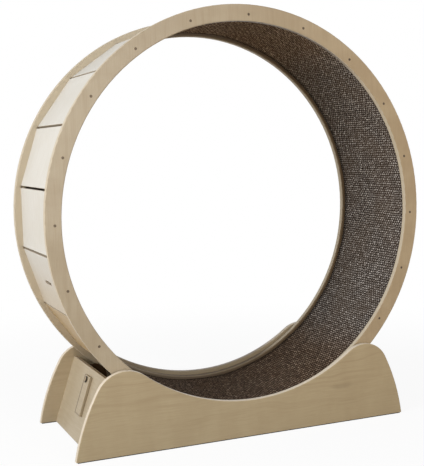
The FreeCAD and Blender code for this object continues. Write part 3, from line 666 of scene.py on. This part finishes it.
def make_weave(name):
    """Woven mat: loops of two-tone yarn, each a shade of its own, with dark gaps and stray fibres."""
    material, tree = new_material(name)
    around, across, radius, angle, outward = drum_axes(tree)
    row, column = loop_places(tree, around, across, angle)
    loop = vector(tree, calc(tree, "FLOOR", row), calc(tree, "FLOOR", column), 0.0)
    shade = add(tree, "ShaderNodeTexWhiteNoise", {"Vector": loop}, noise_dimensions="2D").outputs["Value"]
    crown = product(tree, hump(tree, row), hump(tree, column))
    fleck = stretched_noise(tree, around, across, radius, FLECK_SCALE, 2.0, 0.6)
    cloud = stretched_noise(tree, around, across, 0.0, MAT_CLOUD_SCALE, 3.0)
    mottle = stretched_noise(tree, around, across, MOTTLE_SEED, MOTTLE_SCALE, 1.0)
    light = product(tree, span(tree, crown, *CROWN_TO_LIGHT), span(tree, shade, *LOOP_SHADES),
                    span(tree, mottle, *MOTTLE))
    colour = blend_colour(tree, span(tree, crown, *CROWN_TO_YARN), MAT_GAP, MAT_YARN)
    colour = blend_colour(tree, light, colour, MAT_LIGHT)
    colour = blend_colour(tree, span(tree, fleck, *FLECK_SHADE), colour, MAT_GAP)
    colour = blend_colour(tree, span(tree, cloud, *MAT_CLOUDS), colour, MAT_BROWN)
    # painted shade at the bottom of the drum and painted light at the top
    colour = shade_and_light_mat(tree, colour, around, across, angle)
    # painted shadow along the mat's rims
    from_rim = calc(tree, "SUBTRACT", MAT_HIGH[1], calc(tree, "ABSOLUTE", across))
    colour = blend_colour(tree, span(tree, from_rim, *MAT_RIM_SHADOW), colour, MAT_GAP)
    colour = blend_colour(tree, span(tree, outward, *BACK_OF_MAT), colour, MAT_BACKING)
    height = calc(tree, "ADD", crown, product(tree, fleck, FLECK_HEIGHT))
    surface(tree, colour, WEAVE_ROUGHNESS, height, specular=WEAVE_SPECULAR, **WEAVE_RELIEF)
    return material


def mat_radius(angles, apothem, bend):
    """Distance from the axis to a band laid on the slats, with its corners bent to a radius."""
    half = math.pi / len(SLATS)
    off_flat = np.abs((angles + half) % (2 * half) - half)
    flat_until = math.atan((apothem - bend) * math.tan(half) / apothem)
    flat = apothem / np.cos(off_flat)
    bend_centre = (apothem - bend) / math.cos(half)
    from_corner = half - off_flat
    bend_part = bend_centre * np.cos(from_corner) + np.sqrt(
        np.maximum(0.0, bend ** 2 - (bend_centre * np.sin(from_corner)) ** 2))
    return np.where(off_flat <= flat_until, flat, bend_part)


def weave_heights(i, j):
    """Height of the woven face over its gaps at each step round and across: a loop at every second one,
    and none along the rim."""
    parity = (i // 2 + j // 2) % 2
    on_thread = (i % 2 == 1) & (j % 2 == 1)
    on_gap = (i % 2 == 0) & (j % 2 == 0)
    loft = np.random.default_rng(RANDOM_SEED).uniform(*LOOP_LOFT, i.shape)
    loops = np.where(on_thread, 1.0 - LOW_LOOP_DROP * parity, np.where(on_gap, 0.0, LOOP_FLANK))
    rim = (i == 0) | (i == i.max()) | (j == 0) | (j == j.max())
    return np.where(rim, 0.0, loops * loft * WEAVE_DEPTH)


def side_corners(angles, places, radius):
    """Corners of one side of the mat, row by row."""
    x = radius * np.cos(angles)[:, None]
    z = radius * np.sin(angles)[:, None] + WHEEL_Z
    return np.stack([x, np.broadcast_to(places[None, :], x.shape), z], -1).reshape(-1, 3)


def band_faces(index, count):
    """Faces of a closed band: its inner side, its outer side, whose corners come count later, and the
    wall round both."""
    a, b, c, d = (index[:-1, :-1].ravel(), index[1:, :-1].ravel(), index[1:, 1:].ravel(),
                  index[:-1, 1:].ravel())
    inner = np.stack([a, b, c, d], -1)
    outer = np.stack([d, c, b, a], -1) + count
    loop = np.concatenate([index[:, 0], index[-1, 1:], index[-2::-1, -1], index[0, -2:0:-1]])
    after = np.roll(loop, -1)
    wall = np.stack([after, loop, loop + count, after + count], -1)
    return np.concatenate([inner, outer, wall])


def make_mat(material):
    """The mat as one closed band: a woven face inwards, a plain back against the slats."""
    apothem = MAT_HIGH[0]
    inner_apothem = apothem - MAT_THICKNESS
    bend = inner_apothem - MAT_LAID_STRIP / 2 / math.tan(math.pi / len(SLATS))
    half_width = (MAT_HIGH[1] - MAT_LOW[1]) / 2
    seam_angle = MAT_SEAM / apothem / 2
    steps_round = 2 * threads_round()
    steps_across = 2 * round(2 * half_width / THREAD_PITCH)
    angles = np.linspace(math.pi / 2 + seam_angle, 2.5 * math.pi - seam_angle, steps_round + 1)
    places = np.linspace(-half_width, half_width, steps_across + 1)
    i, j = np.meshgrid(np.arange(steps_round + 1), np.arange(steps_across + 1), indexing="ij")
    height = weave_heights(i, j)
    face = mat_radius(angles, inner_apothem, bend)[:, None] - height + WEAVE_DEPTH
    back = np.broadcast_to(mat_radius(angles, apothem, bend + MAT_THICKNESS)[:, None], face.shape)
    corners = np.concatenate([side_corners(angles, places, face), side_corners(angles, places, back)])
    quads = band_faces(i * (steps_across + 1) + j, i.size)
    mesh = bpy.data.meshes.new("woven_running_mat")
    mesh.from_pydata(corners.tolist(), [], quads.tolist())
    mesh.materials.append(material)
    mesh.polygons.foreach_set("use_smooth", np.ones(len(quads), bool))
    mesh.update()
    mat = bpy.data.objects.new("woven_running_mat", mesh)
    bpy.context.scene.collection.objects.link(mat)
    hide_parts("running_mat")
    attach(mat, "wheel")


# ------------------------------------------------------------------ the object's materials

def make_materials():
    return {
        "ring_plywood": make_plywood("ring_plywood", WOODS["ring"], "Z", -RING_LOW[1], seed=3.1),
        "panel_plywood": make_plywood("panel_plywood", WOODS["panel"], "X", PANEL_FACE, seed=1.7,
                                      knot=PANEL_KNOT),
        "pale_plywood": make_slat_plywood("pale_plywood", WOODS["slat"], seed=5.3),
        "end_plywood": make_leaning_plywood("end_plywood", WOODS["end"], seed=2.2),
        "backing_plywood": make_leaning_plywood("backing_plywood", WOODS["end"], seed=7.9),
        "beech_dowel": make_leaning_plywood("beech_dowel", WOODS["beech"], seed=4.4),
        "mat_weave": make_weave("woven_mat"),
        "bronzed_screw": make_metal("bronzed_screw", (0.13, 0.095, 0.062), 0.45, metallic=0.8),
        "black_knob": make_knob_plastic("black_knob"),
        "black_nylon": make_moulded("black_nylon", (0.075, 0.040, 0.018), 0.60, 0.2, specular=0.1),
        "roller_tyre": make_moulded("roller_tyre", (0.062, 0.034, 0.015), 0.80, 0.3, specular=0.08),
        "foot_rubber": make_moulded("black_rubber", (0.02, 0.018, 0.016), 0.75),
        "bearing_steel": make_metal("bearing_steel", (0.62, 0.62, 0.63), 0.18),
        "bright_steel": make_metal("steel", (0.55, 0.55, 0.56), 0.28, DRAWN_ALONG_Y),
        "spacer_aluminium": make_metal("spacer_aluminium", (0.70, 0.70, 0.71), 0.35, DRAWN_ALONG_Y),
        "zinc_steel": make_metal("zinc_steel", (0.58, 0.57, 0.53), 0.34),
    }


def dress_nodes(materials):
    slots = {row["node"]: row["material_slot"] for row in frame["record"]["subparts"]}
    for name, node in frame["nodes"].items():
        for place in node.material_slots:
            place.material = materials[slots[name]]
    # the lock bar's plywood, with painted shade along its edges
    shaded_bar = make_leaning_plywood("shaded_bar_plywood", WOODS["bar"], seed=9.4, shaded_node="lock_bar")
    for place in frame["nodes"]["lock_bar"].material_slots:
        place.material = shaded_bar


# ------------------------------------------------------------------ floor and light

FLOOR_REACH = 30.0
FLOOR_PALE = (0.95, 0.95, 0.95)
FLOOR_BELOW = (0.19, 0.14, 0.085)        # what the floor throws back on the object
FLOOR_BESIDE = (0.68, 0.57, 0.43)
FLOOR_BESIDE_FROM = (0.35, 1.0)          # along Y
FLOOR_GLOW = (0.8, 2.2, 0.91, 1.0)       # from the middle; further out it is all glow
AMBIENT = 0.50
AMBIENT_ABOVE = 0.36                     # straight up, where the studio is darker
AMBIENT_RISE = (0.1, 1.0)                # how far a direction points up
LAMPS = {
    "key_left": {"place": (-3.6, -1.3, 1.7), "size": 2.2, "power": 122.0, "colour": (0.97, 1.0, 1.04)},
    "fill_front": {"place": (0.5, -4.2, 1.2), "size": 2.0, "power": 52.0, "colour": (1.0, 1.0, 1.0)},
}


def seen_directly(tree):
    """1 for rays of the camera, and for those that a mirror or glass passes on; 0 for diffuse light."""
    path = add(tree, "ShaderNodeLightPath").outputs
    return calc(tree, "MAXIMUM", path["Is Camera Ray"],
                calc(tree, "MAXIMUM", path["Is Glossy Ray"], path["Is Transmission Ray"]))


def make_floor():
    mesh = bpy.data.meshes.new("floor")
    signs = ((-1, -1), (1, -1), (1, 1), (-1, 1))
    mesh.from_pydata([(x * FLOOR_REACH, y * FLOOR_REACH, 0) for x, y in signs], [], [(0, 1, 2, 3)])
    floor = bpy.data.objects.new("floor", mesh)
    bpy.context.scene.collection.objects.link(floor)
    material, tree = new_material("white_floor")
    seen = seen_directly(tree)
    _, place, _ = object_axes(tree)
    beside = span(tree, calc(tree, "ABSOLUTE", place[1]), *FLOOR_BESIDE_FROM)
    bounce = blend_colour(tree, beside, FLOOR_BELOW, FLOOR_BESIDE)
    tint = blend_colour(tree, seen, bounce, FLOOR_PALE)
    matt = add(tree, "ShaderNodeBsdfDiffuse", {"Color": tint})
    glow = add(tree, "ShaderNodeEmission", {"Color": (1.0, 1.0, 1.0, 1.0), "Strength": 1.0})
    share = product(tree, seen, span(tree, distance(tree, place[0], place[1]), *FLOOR_GLOW))
    mixed = add(tree, "ShaderNodeMixShader", {0: share, 1: matt.outputs[0], 2: glow.outputs[0]})
    out = add(tree, "ShaderNodeOutputMaterial")
    tree.links.new(mixed.outputs[0], out.inputs[0])
    mesh.materials.append(material)


def make_world():
    world = bpy.data.worlds.new("studio")
    bpy.context.scene.world = world
    world.use_nodes = True
    tree = world.node_tree
    tree.nodes.clear()
    direction = add(tree, "ShaderNodeSeparateXYZ",
                    {0: add(tree, "ShaderNodeTexCoord").outputs["Generated"]}).outputs
    ambient = span(tree, direction[2], *AMBIENT_RISE, AMBIENT, AMBIENT_ABOVE)
    strength = blend_value(tree, seen_directly(tree), ambient, 1.0)
    background = add(tree, "ShaderNodeBackground", {"Color": (1.0, 1.0, 1.0, 1.0), "Strength": strength})
    out = add(tree, "ShaderNodeOutputWorld")
    tree.links.new(background.outputs[0], out.inputs[0])


def make_lamp(name, place, size, power, colour):
    """A round lamp that aims at the wheel's middle."""
    lamp = bpy.data.lights.new(name, "AREA")
    lamp.shape = "DISK"
    lamp.size = size
    lamp.energy = power
    lamp.color = colour
    holder = bpy.data.objects.new(name, lamp)
    bpy.context.scene.collection.objects.link(holder)
    aim = Vector((0.0, 0.0, WHEEL_Z)) - Vector(place)
    holder.location = place
    holder.rotation_euler = aim.to_track_quat("-Z", "Y").to_euler()


make_camera()
all_materials = make_materials()
dress_nodes(all_materials)
make_mat(all_materials["mat_weave"])
make_floor()
make_world()
for lamp_name, lamp_row in LAMPS.items():
    make_lamp(lamp_name, **lamp_row)

bpy.context.scene.view_settings.view_transform = "Standard"
